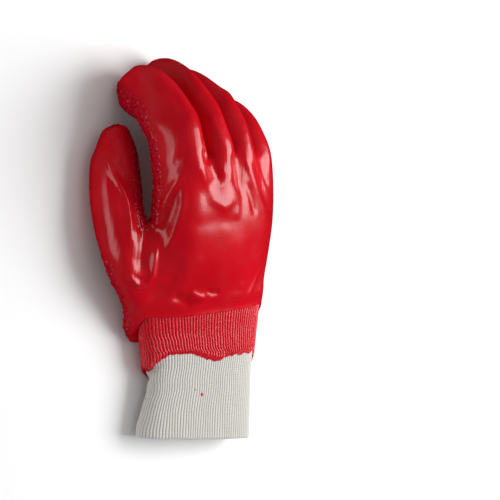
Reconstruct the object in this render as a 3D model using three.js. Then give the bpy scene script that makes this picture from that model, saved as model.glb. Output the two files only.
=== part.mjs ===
// A PVC-coated work glove for the right hand, lying palm down on a table: the dipped hand with
// its five hollow fingers, the coated band where the dip runs on over the rib knit, and the
// knitted wrist.
//
// Millimetres. +Y runs from the hem to the fingertips, +Z up from the table, and the thumb is on
// the -X side. The origin is the middle of the glove's own outline, on the table.

import * as THREE from 'three';
import { mergeVertices } from 'three/addons/utils/BufferGeometryUtils.js';

// Knitted wrist
const wristLength = 84; // hem to hand seam, on the back
const wristHalfWidth = 44; // over the ribs
const wristHalfDepth = 12;
const knitWall = 2.6;
const ribCount = 78;
const ribDepth = 0.6;
const seamTuck = 6; // knit that runs on inside the hand, past the seam
const pinchDepth = 5; // of the buckle on the thumb side
const linerColumns = (2 * ribCount) / 3;

// Coated band
const bandLength = 28.5; // how far the dip runs down the knit from the seam
const dipWave = 3; // rise and fall of the dip line
const coatWall = 1.1;
const bandTuck = 3.5; // coat that runs on inside the hand, past the seam
const palmSideDrop = 22; // how much nearer the hem the seam lies on the palm side
const thumbSideRise = 10; // of the dip line on the thumb side

// Hand
const palmLength = 98; // seam to the webs between the fingers
const palmHalfWidth = 51;
const palmHalfDepth = 22;
const handWall = 1.9; // coating and liner together
const seatGap = 0.55; // between one layer and the next, and under the hand's rim
const rimGap = 0.8; // between the coated band and the hand's rim

// How the glove lies: the most that its middle line turns by, in degrees
const handYaw = 6; // towards the thumb
const handPitch = 24; // upwards
const handRoll = 9; // little finger side down

// Fingers, from the webs to the tips
const indexLength = 85;
const middleLength = 87;
const ringLength = 75.5;
const littleLength = 56;
const fingerHalfWidth = 11.8;
const fingerHalfDepth = 15.5;
const webDepth = 0.08; // of the grooves at the webs, as a share of a finger's depth

// Thumb
const thumbHalfWidth = 16.5;
const thumbHalfDepth = 15.5;

const { degToRad, smoothstep, lerp, clamp } = THREE.MathUtils;

// A table's columns as smooth functions of its first one.
function columnsOf(table, first, ...names) {
  const stops = table.map((row) => row[first]);
  const values = table.flatMap((row) => names.map((name) => row[name]));
  const curve = new THREE.CubicInterpolant(stops, values, names.length);
  return (at) => {
    const found = curve.evaluate(clamp(at, stops[0], stops[stops.length - 1]));
    return Object.fromEntries(names.map((name, i) => [name, found[i]]));
  };
}

// The middle line of the wrist and palm: shares of the three angles that the glove lies at,
// by the distance from the seam in palm lengths.
const HEADING = [
  { at: -0.8, yaw: 0.0, pitch: 0.0, roll: 0.0 },
  { at: -0.45, yaw: 0.0, pitch: 0.0, roll: 0.0 },
  { at: -0.2, yaw: 0.4, pitch: 0.2, roll: 0.0 },
  { at: 0.0, yaw: 0.8, pitch: 0.55, roll: 0.1 },
  { at: 0.25, yaw: 1.0, pitch: 0.95, roll: 0.4 },
  { at: 0.5, yaw: 0.95, pitch: 1.0, roll: 0.8 },
  { at: 0.75, yaw: 0.6, pitch: 0.85, roll: 1.0 },
  { at: 1.0, yaw: 0.2, pitch: 0.55, roll: 1.0 },
  { at: 1.3, yaw: 0.2, pitch: 0.5, roll: 1.0 },
];
const headingShares = columnsOf(HEADING, 'at', 'yaw', 'pitch', 'roll');
const webs = wristLength + palmLength;

function headingAt(along) {
  const { yaw, pitch, roll } = headingShares((along - wristLength) / palmLength);
  const turns = [pitch * handPitch, roll * handRoll, yaw * handYaw].map(degToRad);
  return new THREE.Euler(...turns, 'ZXY');
}

// A frame for each millimetre from the hem: its X runs across the hand, its Y along it and its
// Z out of the back.
const middleLine = [];
const walker = new THREE.Vector3(0, 0, wristHalfDepth);
for (let along = 0; along <= webs + 10; along += 1) {
  const turn = new THREE.Matrix4().makeRotationFromEuler(headingAt(along));
  middleLine.push(turn.setPosition(walker));
  walker.add(new THREE.Vector3(0, 1, 0).applyEuler(headingAt(along + 0.5)));
}

function frameAt(along) {
  const whole = clamp(Math.floor(along), 0, middleLine.length - 1);
  const frame = middleLine[whole].clone();
  return frame.setPosition(new THREE.Vector3(0, along - whole, 0).applyMatrix4(frame));
}

// The outline of a section: count points evenly spaced round it, from the little finger side
// over the back. A section reaches left, right, up and down from the middle line, and shift
// moves the first point on by that many points.
const OUTLINE_SAMPLES = 720;

function outlineOf({ left, right, up, down, square }, grow, count, shift = 0) {
  const points = [];
  for (let i = 0; i <= OUTLINE_SAMPLES; i += 1) {
    const angle = (2 * Math.PI * i) / OUTLINE_SAMPLES;
    const [c, s] = [Math.cos(angle), Math.sin(angle)];
    const x = Math.sign(c) * Math.abs(c) ** (2 / square) * ((c > 0 ? right : left) + grow);
    const z = Math.sign(s) * Math.abs(s) ** (2 / square) * ((s > 0 ? up : down) + grow);
    points.push(new THREE.Vector2(x, z));
  }
  const lengths = [0];
  points.slice(1).forEach((p, i) => lengths.push(lengths[i] + p.distanceTo(points[i])));
  return Array.from({ length: count }, (_, i) => {
    const wanted = (lengths[OUTLINE_SAMPLES] * ((i + shift) % count)) / count;
    const at = Math.max(0, lengths.findIndex((length) => length > wanted) - 1);
    const share = (wanted - lengths[at]) / (lengths[at + 1] - lengths[at]);
    return points[at].clone().lerp(points[at + 1], share);
  });
}

// A skin is a list of points and the faces between them, grown ring by ring. A ring is a list of
// point numbers that runs from the little finger side over the back and round.
function makeSkin() {
  const points = [];
  const faces = [];
  const addRing = (ring) => ring.map((point) => points.push(point) - 1);
  const bridge = (near, far, keep = () => true) => near.forEach((a, i) => {
    const next = (i + 1) % near.length;
    const [b, c, d] = [near[next], far[i], far[next]];
    const across = points[a].distanceTo(points[d]) < points[b].distanceTo(points[c]);
    if (keep(i)) faces.push(...(across ? [a, c, d, a, d, b] : [a, c, b, b, c, d]));
  });
  const cap = (ring, tip) => {
    const end = points.push(tip) - 1;
    ring.forEach((a, i) => faces.push(a, end, ring[(i + 1) % ring.length]));
  };
  // The edge between an outer ring and an inner one, which may have several times fewer points
  const edge = (outer, inner, atStart) => {
    const times = outer.length / inner.length;
    const put = (a, b, c) => faces.push(...(atStart ? [a, b, c] : [a, c, b]));
    inner.forEach((from, i) => {
      const stretch = Array.from({ length: times + 1 }, (_, k) => outer[(i * times + k) % outer.length]);
      stretch.slice(1).forEach((b, k) => put(stretch[k], b, from));
      put(stretch[times], inner[(i + 1) % inner.length], from);
    });
  };
  return { points, faces, addRing, bridge, cap, edge };
}

// An open tube with a wall, through rings from its near end to its far one.
function tube(outside, inside) {
  const skin = makeSkin();
  const [outer, inner] = [outside, inside].map((rings) => rings.map((ring) => skin.addRing(ring)));
  outer.slice(1).forEach((ring, i) => skin.bridge(outer[i], ring));
  inner.slice(1).forEach((ring, i) => skin.bridge(ring, inner[i]));
  skin.edge(outer[0], inner[0], true);
  skin.edge(outer[outer.length - 1], inner[inner.length - 1], false);
  return skin;
}

const part = new THREE.Group();
part.name = 'pvc_coated_work_glove';

function add(name, { points, faces }, color, roughness) {
  const corners = faces.map((number) => points[number]);
  const geometry = mergeVertices(new THREE.BufferGeometry().setFromPoints(corners));
  const material = new THREE.MeshStandardMaterial({ color, roughness, metalness: 0 });
  const mesh = new THREE.Mesh(geometry, material);
  mesh.name = name;
  part.add(mesh);
}

// Knitted wrist, by the distance from the hem in wrist lengths: shares of the wrist's own half
// width and half depth.
const WRIST = [
  { at: -0.1, left: 1.0, right: 1.02, up: 1.0, down: 1.1 },
  { at: 0.0, left: 1.0, right: 1.02, up: 1.0, down: 1.1 },
  { at: 0.1, left: 1.01, right: 1.04, up: 1.0, down: 1.16 },
  { at: 0.35, left: 0.9, right: 1.05, up: 0.96, down: 1.14 },
  { at: 0.55, left: 0.88, right: 1.08, up: 1.04, down: 1.08 },
  { at: 0.75, left: 0.94, right: 1.12, up: 1.12, down: 1.02 },
  { at: 1.0, left: 1.06, right: 1.18, up: 1.14, down: 1.0 },
  { at: 1.15, left: 1.1, right: 1.2, up: 1.14, down: 1.0 },
];
const wristShares = columnsOf(WRIST, 'at', 'left', 'right', 'up', 'down');

function wristSection(along) {
  const share = wristShares(along / wristLength);
  return {
    left: share.left * wristHalfWidth,
    right: share.right * wristHalfWidth,
    up: share.up * wristHalfDepth,
    down: share.down * wristHalfDepth,
    square: 2.6,
  };
}

// The cuff has buckled on the thumb side: a pinch across that side, this far under the dip line.
function pinchAt(along, round) {
  const under = (along - (dipLine(round) - 7)) / 2.5;
  const across = (round - 0.52) / 0.07;
  return pinchDepth * Math.exp(-(under ** 2) - across ** 2);
}

// How high the knit's underside lies: on the table at the hem, and further on over the coat and
// then over the hand's own rim.
function liftAt(along, round) {
  const [dip, seam] = [dipLine(round), seamLine(round)];
  const overCoat = smoothstep(along, dip - 12, dip) * (coatWall + 2 * seatGap);
  const overRim = smoothstep(along, dip + 4, seam) * (handWall + rimGap);
  return overCoat + overRim;
}

// One ring of the wrist, or of a layer that is grown out from it. groove sinks every other
// column between two ribs, and whatever lies on the table is flat.
function wristRing(along, { grow = 0, columns = 2 * ribCount, groove = 0 }) {
  return Array.from({ length: columns }, (_, i) => {
    const round = i / columns;
    const here = typeof along === 'function' ? along(round) : along;
    const flat = outlineOf(wristSection(here), grow - (i % 2 ? groove : 0), columns)[i];
    flat.x += pinchAt(here, round);
    const point = new THREE.Vector3(flat.x, 0, flat.y).applyMatrix4(frameAt(here));
    point.z = Math.max(point.z, liftAt(here, round) - grow);
    return point;
  });
}

// The seam and the dip line, as distances from the hem: round is the share of the way round,
// from the little finger side over the back.
function seamLine(round) {
  const palmSide = smoothstep(-Math.sin(2 * Math.PI * round), -0.35, 0.35);
  return wristLength - palmSideDrop * palmSide;
}

function dipLine(round) {
  const angle = 2 * Math.PI * round;
  const wave = 0.5 * Math.sin(3 * angle + 1) + 0.3 * Math.sin(5 * angle + 2) + 0.2 * Math.sin(8 * angle);
  const side = thumbSideRise * Math.exp(-(((round - 0.53) / 0.06) ** 2));
  return seamLine(round) - bandLength + dipWave * wave + side;
}

// Between the two lines the knit and the coat over it have their rings at the same places.
const halfBand = (round) => lerp(dipLine(round), seamLine(round), 0.5);
const past = (line, distance) => (round) => line(round) + distance;

function knittedWrist() {
  const buckle = [-11, -7, -3.5].map((distance) => past(dipLine, distance));
  const stops = [0.2 * wristLength, ...buckle, dipLine, halfBand, past(seamLine, seamTuck)];
  const ribs = { groove: ribDepth };
  const liner = { grow: -knitWall, columns: linerColumns };
  const hem = wristRing(0, { ...ribs, grow: -0.4 * knitWall });
  const outside = [hem, ...[0.017 * wristLength, ...stops].map((along) => wristRing(along, ribs))];
  return tube(outside, [0, ...stops].map((along) => wristRing(along, liner)));
}

function coatedBand() {
  const stops = [dipLine, halfBand, past(seamLine, bandTuck)];
  const coat = { grow: seatGap + coatWall, groove: ribDepth };
  const hollow = { grow: seatGap, columns: ribCount };
  return tube(stops.map((along) => wristRing(along, coat)), stops.map((along) => wristRing(along, hollow)));
}

// Palm and back of the hand, by the distance from the seam in palm lengths: shares of
// palmHalfWidth and palmHalfDepth.
const PALM = [
  { at: 0.0, left: 1.02, right: 1.04, up: 0.84, down: 0.76 },
  { at: 0.1, left: 1.02, right: 1.06, up: 0.85, down: 0.76 },
  { at: 0.25, left: 1.0, right: 1.1, up: 0.9, down: 0.78 },
  { at: 0.5, left: 0.97, right: 1.1, up: 0.96, down: 0.8 },
  { at: 0.75, left: 0.99, right: 1.05, up: 0.92, down: 0.88 },
  { at: 0.9, left: 1.0, right: 0.99, up: 0.82, down: 0.84 },
  { at: 1.0, left: 0.98, right: 0.92, up: 0.72, down: 0.76 },
];
const palmShares = columnsOf(PALM, 'at', 'left', 'right', 'up', 'down');

// Fingers, from the little one to the index: where each root stands across the webs in shares
// of palmHalfWidth and up in shares of palmHalfDepth, its half sizes in shares of a finger's
// own, and how its middle line starts off in degrees.
const FINGERS = [
  { across: 0.68, up: -0.18, wide: 0.94, deep: 0.95, rise: -18, lean: -2, twist: -2.5, length: littleLength },
  { across: 0.24, up: 0.0, wide: 0.97, deep: 1.03, rise: -17, lean: -2.6, twist: -3.5, length: ringLength },
  { across: -0.215, up: 0.08, wide: 0.99, deep: 1.07, rise: -15, lean: -3.2, twist: -4.5, length: middleLength },
  { across: -0.735, up: -0.16, wide: 1.21, deep: 1.24, rise: -8, lean: -2.2, twist: -5, length: indexLength },
];
const fingerArc = 5; // columns over a finger's back, and as many under it
const fingerSide = 4; // columns down each side of a finger
const backAngle = 108; // degrees of a finger's section that its back takes up
const fingerColumns = 2 * (fingerArc + fingerSide);
const handColumns = 2 * FINGERS.length * fingerArc + 2 * fingerSide;

// A point of a finger's section. Column 0 is where its back meets the little finger side.
function fingerPoint(column, wide, deep, frame) {
  const [half, past] = [fingerArc + fingerSide, column % (fingerArc + fingerSide)];
  const onBack = Math.min(past, fingerArc) / fingerArc;
  const onSide = Math.max(0, past - fingerArc) / fingerSide;
  const turned = 90 - backAngle / 2 + backAngle * onBack + (180 - backAngle) * onSide;
  const angle = degToRad(turned + (column % fingerColumns >= half ? 180 : 0));
  return new THREE.Vector3(wide * Math.cos(angle), 0, deep * Math.sin(angle)).applyMatrix4(frame);
}

function rootFrame({ across, up, rise, lean, twist }) {
  const frame = frameAt(webs);
  frame.multiply(new THREE.Matrix4().makeTranslation(across * palmHalfWidth, 0, up * palmHalfDepth));
  const start = new THREE.Euler(degToRad(rise), degToRad(twist), degToRad(lean), 'ZXY');
  return frame.multiply(new THREE.Matrix4().makeRotationFromEuler(start));
}

// The point that two fingers share at one end of the web between them, drawn in a little
// towards its other end.
function sunkBetween(one, other, farOne, farOther) {
  const near = one.clone().lerp(other, 0.5);
  return near.lerp(farOne.clone().lerp(farOther, 0.5), webDepth);
}

function rootPoint(finger, column) {
  const [wide, deep] = [finger.wide * fingerHalfWidth, finger.deep * fingerHalfDepth];
  return fingerPoint(column, wide, deep, rootFrame(finger));
}

// The ring where the palm ends and the fingers start, with the points that neighbours share.
function websRing() {
  const ring = [];
  const under = fingerArc + fingerSide;
  FINGERS.forEach((finger, k) => {
    for (let j = 0; j <= fingerArc; j += 1) {
      const [over, below] = [k * fingerArc + j, handColumns - fingerSide - k * fingerArc - j];
      const back = rootPoint(finger, j);
      const palm = rootPoint(finger, under + fingerArc - j);
      ring[over] = ring[over] ? sunkBetween(ring[over], back, ring[below], palm) : back;
      ring[below] = ring[below] ? sunkBetween(ring[below], palm, ring[over], back) : palm;
    }
  });
  const index = FINGERS[FINGERS.length - 1];
  for (let j = 1; j < fingerSide; j += 1) {
    ring[FINGERS.length * fingerArc + j] = rootPoint(index, fingerArc + j);
    ring[handColumns - fingerSide + j] = rootPoint(FINGERS[0], under + fingerArc + j);
  }
  return ring;
}

// A finger's sections, by shares of its length: shares of its half width and half depth.
const FINGER = [
  { at: 0.0, wide: 1.0, deep: 1.0 },
  { at: 0.3, wide: 0.99, deep: 1.0 },
  { at: 0.55, wide: 0.94, deep: 0.93 },
  { at: 0.8, wide: 0.89, deep: 0.84 },
  { at: 1.0, wide: 0.84, deep: 0.78 },
];
const fingerShares = columnsOf(FINGER, 'at', 'wide', 'deep');

// The three joints of a finger, and how much of its curl each takes.
const JOINTS = [
  { from: 0.02, to: 0.42, share: 0.3 },
  { from: 0.3, to: 0.72, share: 0.4 },
  { from: 0.6, to: 1.0, share: 0.3 },
];
function curled(at) {
  return JOINTS.reduce((sum, { from, to, share }) => sum + share * smoothstep(at, from, to), 0);
}

const tipSettle = 0.4; // what evening the skin out takes off a fingertip
const FINGER_STOPS = [0.09, 0.2, 0.32, 0.45, 0.58, 0.7, 0.81, 0.9, 0.96, 0.99];

function fingerFrame(finger, curl, at) {
  const frame = rootFrame(finger);
  const steps = 40;
  for (let i = 0; i < steps; i += 1) {
    const turn = curled((at * (i + 1)) / steps) - curled((at * i) / steps);
    frame.multiply(new THREE.Matrix4().makeTranslation(0, (at * finger.length) / steps, 0));
    frame.multiply(new THREE.Matrix4().makeRotationX(-degToRad(curl * turn)));
  }
  return frame;
}

function fingerRings(finger, curl) {
  const nose = 1 - (0.95 * fingerHalfDepth) / finger.length; // where the tip starts to round
  return FINGER_STOPS.map((at) => {
    const share = fingerShares(at);
    const rounding = Math.sqrt(1 - Math.max(0, (at - nose) / (1 - nose)) ** 2);
    const wide = share.wide * finger.wide * fingerHalfWidth * rounding;
    const deep = share.deep * finger.deep * fingerHalfDepth * rounding;
    const frame = fingerFrame(finger, curl, at);
    return Array.from({ length: fingerColumns }, (_, i) => fingerPoint(i, wide, deep, frame));
  });
}

function fingerTip(finger, curl) {
  return new THREE.Vector3().setFromMatrixPosition(fingerFrame(finger, curl, 1));
}

// The curl that brings a fingertip down on to the table.
function restingCurl(finger) {
  let [open, closed] = [10, 150];
  for (let i = 0; i < 16; i += 1) {
    const curl = (open + closed) / 2;
    const heights = [...fingerRings(finger, curl).flat(), fingerTip(finger, curl)].map((p) => p.z);
    if (Math.min(...heights) > -tipSettle) open = curl;
    else closed = curl;
  }
  return open;
}

// Palm rows, by the distance from the seam in palm lengths. The thumb grows out of a patch
// between two of them.
const PALM_STOPS = [0, 0.03, 0.08, 0.15, 0.22, 0.29, 0.36, 0.43, 0.5, 0.57, 0.66, 0.76, 0.86, 0.94];
const thumbRows = { first: 2, last: 9 };
const thumbSpan = { first: 21, last: 25 }; // columns of the palm
const thumbWebRows = 2; // rows of the thumb, from the palm out, that have a share in its web
const rimFlare = 5; // how far the hand's rim stands off on the thumb side

// Pads, dents and folds of the palm and back, each along a line from one place to another: at is
// the distance from the seam in palm lengths and round the share of the way round. Heights and
// widths are shares of palmHalfDepth.
const FOLDS = [
  { at: 0.12, round: 0.6, toAt: 0.4, toRound: 0.6, width: 0.75, height: 0.28 }, // thumb pad
  { at: 0.1, round: 0.88, toAt: 0.35, toRound: 0.9, width: 0.75, height: 0.22 }, // heel pad
  { at: 0.3, round: 0.74, toAt: 0.6, toRound: 0.74, width: 0.8, height: -0.12 }, // hollow of the palm
  { at: 0.57, round: 0.45, toAt: 0.25, toRound: 0.44, width: 0.3, height: -0.14 }, // valley beside the thumb
  { at: 0.56, round: 0.36, toAt: 0.6, toRound: 0.2, width: 0.2, height: -0.07 }, // crease across the back
  { at: 0.5, round: 0.14, toAt: 0.85, toRound: 0.17, width: 0.2, height: 0.07 }, // ridge to the little finger
  { at: 0.1, round: 0.4, toAt: 0.13, toRound: 0.22, width: 0.2, height: -0.06 }, // tuck above the seam
];
const palmGirth = 5 * palmHalfWidth;

function foldAt(at, round) {
  const here = new THREE.Vector3(at * palmLength, (round % 1) * palmGirth, 0);
  return FOLDS.reduce((sum, fold) => {
    const start = new THREE.Vector3(fold.at * palmLength, fold.round * palmGirth, 0);
    const end = new THREE.Vector3(fold.toAt * palmLength, fold.toRound * palmGirth, 0);
    const nearest = new THREE.Line3(start, end).closestPointToPoint(here, true, new THREE.Vector3());
    const away = nearest.distanceTo(here) / (fold.width * palmHalfDepth);
    return sum + fold.height * palmHalfDepth * Math.exp(-(away ** 2));
  }, 0);
}

function palmRing(at, end) {
  const shift = fingerSide / 2;
  const share = palmShares(at);
  const palm = {
    left: share.left * palmHalfWidth,
    right: share.right * palmHalfWidth,
    up: share.up * palmHalfDepth,
    down: share.down * palmHalfDepth,
    square: 2.3,
  };
  const full = outlineOf(palm, 0, handColumns, shift).map((flat, i) => {
    const fold = foldAt(at, (i + shift) / handColumns);
    return flat.multiplyScalar(1 + fold / flat.length());
  });
  const opened = smoothstep(at, 0.04, 0.18);
  const spread = smoothstep(at, 0.6, 1);
  return full.map((flat, i) => {
    const round = ((i + shift) / handColumns) % 1;
    const along = lerp(seamLine(round), webs, at);
    const wrist = wristSection(along);
    wrist.left += rimFlare;
    const seat = outlineOf(wrist, seatGap + coatWall + rimGap + handWall, handColumns, shift)[i];
    const { x, y } = seat.lerp(flat, opened);
    const point = new THREE.Vector3(x, 0, y).applyMatrix4(frameAt(along)).lerp(end[i], spread);
    point.z = Math.max(point.z, seatGap);
    return point;
  });
}

// The thumb's middle line: distance from the seam in palm lengths, out from the wrist's middle in
// palmHalfWidths and up in thumbHalfDepths, with its half sizes in shares of its own. It leaves
// the palm sideways and turns until it points along it.
const THUMB = [
  { along: 0.327, out: 1.22, up: 1.62, wide: 1.45, deep: 0.95, turn: 0.2 },
  { along: 0.464, out: 1.33, up: 1.42, wide: 1.25, deep: 1.04, turn: 0.5 },
  { along: 0.592, out: 1.35, up: 1.24, wide: 1.08, deep: 1.05, turn: 0.85 },
  { along: 0.73, out: 1.34, up: 1.08, wide: 1.04, deep: 1.03, turn: 1.0 },
  { along: 0.88, out: 1.33, up: 1.01, wide: 1.04, deep: 1.02, turn: 1.0 },
  { along: 1.01, out: 1.32, up: 0.97, wide: 0.98, deep: 0.97, turn: 1.0 },
  { along: 1.1, out: 1.31, up: 0.94, wide: 0.82, deep: 0.82, turn: 1.0 },
  { along: 1.16, out: 1.3, up: 0.92, wide: 0.5, deep: 0.5, turn: 1.0 },
];
const thumbTip = { along: 1.175, out: 1.29, up: 0.92 };

function thumbPoint({ along, out, up }) {
  return new THREE.Vector3(-out * palmHalfWidth, wristLength + along * palmLength, up * thumbHalfDepth);
}

function thumbRing(row, columns) {
  const centre = thumbPoint(row);
  const heading = degToRad(90 * (1 - row.turn));
  const inner = new THREE.Vector3(Math.cos(heading), Math.sin(heading), 0);
  return Array.from({ length: columns }, (_, i) => {
    const angle = (2 * Math.PI * i) / columns;
    const point = centre.clone().addScaledVector(inner, row.wide * thumbHalfWidth * Math.cos(angle));
    point.z += row.deep * thumbHalfDepth * Math.sin(angle);
    return point;
  });
}

// Evens a skin out: each point that isn't kept goes part of the way to the middle of its
// neighbours, as many times as there are passes.
function relax({ points, faces }, passes, isKept) {
  const neighbours = points.map(() => new Set());
  faces.forEach((a, i) => {
    const b = faces[i % 3 === 2 ? i - 2 : i + 1];
    neighbours[a].add(b);
    neighbours[b].add(a);
  });
  for (let pass = 0; pass < passes; pass += 1) {
    const targets = neighbours.map((set) => middleOf([...set].map((number) => points[number])));
    points.forEach((point, i) => {
      if (neighbours[i].size && !isKept(i)) point.lerp(targets[i], 0.3);
    });
  }
}

// The whole outer skin of the hand, left open at the wrist.
function handSkin() {
  const skin = makeSkin();
  const end = websRing();
  const rows = PALM_STOPS.map((at) => skin.addRing(palmRing(at, end)));
  rows.push(skin.addRing(end));
  const inPatch = (row, column) => row >= thumbRows.first && row < thumbRows.last
    && column >= thumbSpan.first && column < thumbSpan.last;
  rows.slice(1).forEach((ring, row) => skin.bridge(rows[row], ring, (column) => !inPatch(row, column)));

  // Fingers: each starts from its own stretch of the webs ring, and shares the web with the next
  const knuckles = rows[rows.length - 1];
  const shared = (finger, next, j) => {
    const near = rootPoint(finger, fingerArc + j);
    return near.lerp(rootPoint(next, fingerColumns - j), 0.5);
  };
  const webPoints = new Set();
  let web = knuckles.slice(handColumns - fingerSide + 1);
  FINGERS.forEach((finger, k) => {
    const back = knuckles.slice(k * fingerArc, (k + 1) * fingerArc + 1);
    const under = handColumns - fingerSide - (k + 1) * fingerArc;
    const palm = knuckles.slice(under, under + fingerArc + 1);
    const next = FINGERS[k + 1];
    const side = next
      ? skin.addRing([1, 2, 3].map((j) => shared(finger, next, j)))
      : knuckles.slice(FINGERS.length * fingerArc + 1, FINGERS.length * fingerArc + fingerSide);
    const curl = restingCurl(finger);
    let last = [...back, ...side, ...palm, ...web];
    fingerRings(finger, curl).forEach((ring) => {
      const numbers = skin.addRing(ring);
      skin.bridge(last, numbers);
      last = numbers;
    });
    skin.cap(last, fingerTip(finger, curl));
    web = side.toReversed();
    if (next) [back[fingerArc], ...side, palm[0]].forEach((number) => webPoints.add(number));
  });

  // Thumb: it starts from the border of its patch, from the web round over the back
  const { first: low, last: high } = thumbRows;
  const { first: upper, last: lower } = thumbSpan;
  const half = (lower - upper) / 2;
  let last = [];
  for (let c = upper + half; c > upper; c -= 1) last.push(rows[high][c]);
  for (let r = high; r > low; r -= 1) last.push(rows[r][upper]);
  for (let c = upper; c < lower; c += 1) last.push(rows[low][c]);
  for (let r = low; r < high; r += 1) last.push(rows[r][lower]);
  for (let c = lower; c > upper + half; c -= 1) last.push(rows[high][c]);
  const aroundWeb = (ring) => ring.filter((_, i) => Math.cos((2 * Math.PI * i) / ring.length) > -0.6);
  THUMB.forEach((row, i) => {
    if (i < thumbWebRows) aroundWeb(last).forEach((number) => webPoints.add(number));
    const numbers = skin.addRing(thumbRing(row, last.length));
    skin.bridge(last, numbers);
    last = numbers;
  });
  skin.cap(last, thumbPoint(thumbTip));

  // The skin is evened out, and more so in the webs, but the rim keeps its shape
  const skirt = new Set([...rows[0], ...rows[1]]);
  relax(skin, 3, (i) => skirt.has(i));
  relax(skin, 8, (i) => skirt.has(i) || !webPoints.has(i));
  return { skin, rim: rows[0], skirt };
}

function middleOf(points) {
  return points.reduce((sum, p) => sum.add(p), new THREE.Vector3()).divideScalar(points.length);
}

// The outer skin and, one wall inside it, the liner's own.
function coatedHand() {
  const { skin, rim, skirt } = handSkin();
  const geometry = new THREE.BufferGeometry().setFromPoints(skin.points).setIndex(skin.faces);
  geometry.computeVertexNormals();
  const packed = geometry.getAttribute('normal');
  const inwards = skin.points.map((_, i) => new THREE.Vector3().fromBufferAttribute(packed, i).negate());
  relax({ points: inwards, faces: skin.faces }, 2, (i) => skirt.has(i));
  const count = skin.points.length;
  inwards.forEach((way, i) => skin.points.push(skin.points[i].clone().addScaledVector(way.normalize(), handWall)));
  const outer = [...skin.faces];
  for (let i = 0; i < outer.length; i += 3) {
    skin.faces.push(outer[i] + count, outer[i + 2] + count, outer[i + 1] + count);
  }
  skin.edge(rim, rim.map((number) => number + count), true);
  return skin;
}

add('knit_wrist', knittedWrist(), 0xd9d7cf, 0.95);
add('coated_band', coatedBand(), 0xb8101c, 0.5);
add('coated_hand', coatedHand(), 0xb00d1a, 0.25);

const box = new THREE.Box3().setFromObject(part);
const middle = box.getCenter(new THREE.Vector3());
part.position.set(-middle.x, -middle.y, -box.min.z);

export default part;
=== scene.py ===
# %% [markdown]
# A PVC-coated work glove, dressed for a render
#
# The solids of the glove come in as a fixed frame, in metres: the hollow hand, the coated band and
# the knitted wrist. This lesson builds a finer surface over each one, gives it folds, crumb and
# ribs, and lights it as a studio would.

# %% Load the frame
import bpy
import bmesh
import math
import numpy as np
from mathutils import Matrix, Vector, kdtree, noise
from mathutils.bvhtree import BVHTree


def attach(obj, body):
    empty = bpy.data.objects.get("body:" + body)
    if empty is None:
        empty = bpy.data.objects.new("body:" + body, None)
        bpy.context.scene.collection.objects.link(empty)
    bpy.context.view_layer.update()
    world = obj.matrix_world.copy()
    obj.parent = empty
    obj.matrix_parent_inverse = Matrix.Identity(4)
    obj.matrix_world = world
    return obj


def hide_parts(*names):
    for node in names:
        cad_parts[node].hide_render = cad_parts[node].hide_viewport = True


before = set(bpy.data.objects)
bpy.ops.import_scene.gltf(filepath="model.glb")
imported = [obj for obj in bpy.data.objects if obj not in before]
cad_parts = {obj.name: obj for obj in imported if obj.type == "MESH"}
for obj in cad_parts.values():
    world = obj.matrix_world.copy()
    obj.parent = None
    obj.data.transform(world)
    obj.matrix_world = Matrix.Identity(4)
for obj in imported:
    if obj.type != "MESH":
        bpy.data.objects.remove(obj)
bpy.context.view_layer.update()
MM = 0.001
print("nodes:", sorted(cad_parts))

# %% [markdown]
# The camera
#
# It looks down at the table from the thumb's side, with the fingers pointing up in the picture.
# A long lens from a metre and a half keeps the proportions of the photograph. The folds further
# on are placed by where they show in the picture, so the camera comes first.

# %% Camera
VIEW_TILT = math.radians(42)  # from straight above towards the thumb's side
PIXELS = 500
PIXELS_PER_MM = 1.587
DISTANCE = 1.5
right = Vector((math.cos(VIEW_TILT), 0, math.sin(VIEW_TILT)))
up = Vector((0, 1, 0))
toward = right.cross(up)
AIM = right * 0.0556 + up * 0.0007 + toward * 0.0187  # the middle of the picture
camera = bpy.data.objects.new("camera", bpy.data.cameras.new("camera"))
bpy.context.collection.objects.link(camera)
camera.data.sensor_width = 36
camera.data.lens = 36 * DISTANCE / (PIXELS / PIXELS_PER_MM * MM)
camera.matrix_world = Matrix((right, up, toward)).transposed().to_4x4()
camera.location = AIM + toward * DISTANCE
bpy.context.scene.camera = camera
print("lens", round(camera.data.lens, 1), "mm")


def picture(points):
    """Where points show in the picture, in pixels from its upper left corner."""
    away = points - np.array(camera.location)
    depth = -away @ np.array(toward)
    scale = camera.data.lens / camera.data.sensor_width * PIXELS / depth
    x = PIXELS / 2 + away @ np.array(right) * scale
    y = PIXELS / 2 - away @ np.array(up) * scale
    return np.stack([x, y], 1)


# %% [markdown]
# Meshes as arrays
#
# Shaping thousands of points is quicker with numpy than one by one, so these helpers turn a mesh
# into arrays and back, find its normals, and even it out.

# %% Mesh helpers
def arrays(obj):
    """The points and the faces of an object with its modifiers applied."""
    evaluated = obj.evaluated_get(bpy.context.evaluated_depsgraph_get())
    mesh = evaluated.to_mesh()
    points = np.empty(len(mesh.vertices) * 3)
    mesh.vertices.foreach_get("co", points)
    faces = [tuple(polygon.vertices) for polygon in mesh.polygons]
    evaluated.to_mesh_clear()
    return points.reshape(-1, 3), faces


def build(name, points, faces, smooth=True):
    """A new object from arrays."""
    mesh = bpy.data.meshes.new(name)
    mesh.from_pydata([tuple(p) for p in points], [], faces)
    mesh.update()
    mesh.polygons.foreach_set("use_smooth", [smooth] * len(mesh.polygons))
    obj = bpy.data.objects.new(name, mesh)
    bpy.context.collection.objects.link(obj)
    return obj


def welded(points, faces):
    """The same surface with each place stored once."""
    _, first, number = np.unique(np.round(points, 6), axis=0, return_index=True, return_inverse=True)
    number = number.reshape(-1)
    return points[first], [tuple(number[i] for i in face) for face in faces]


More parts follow.
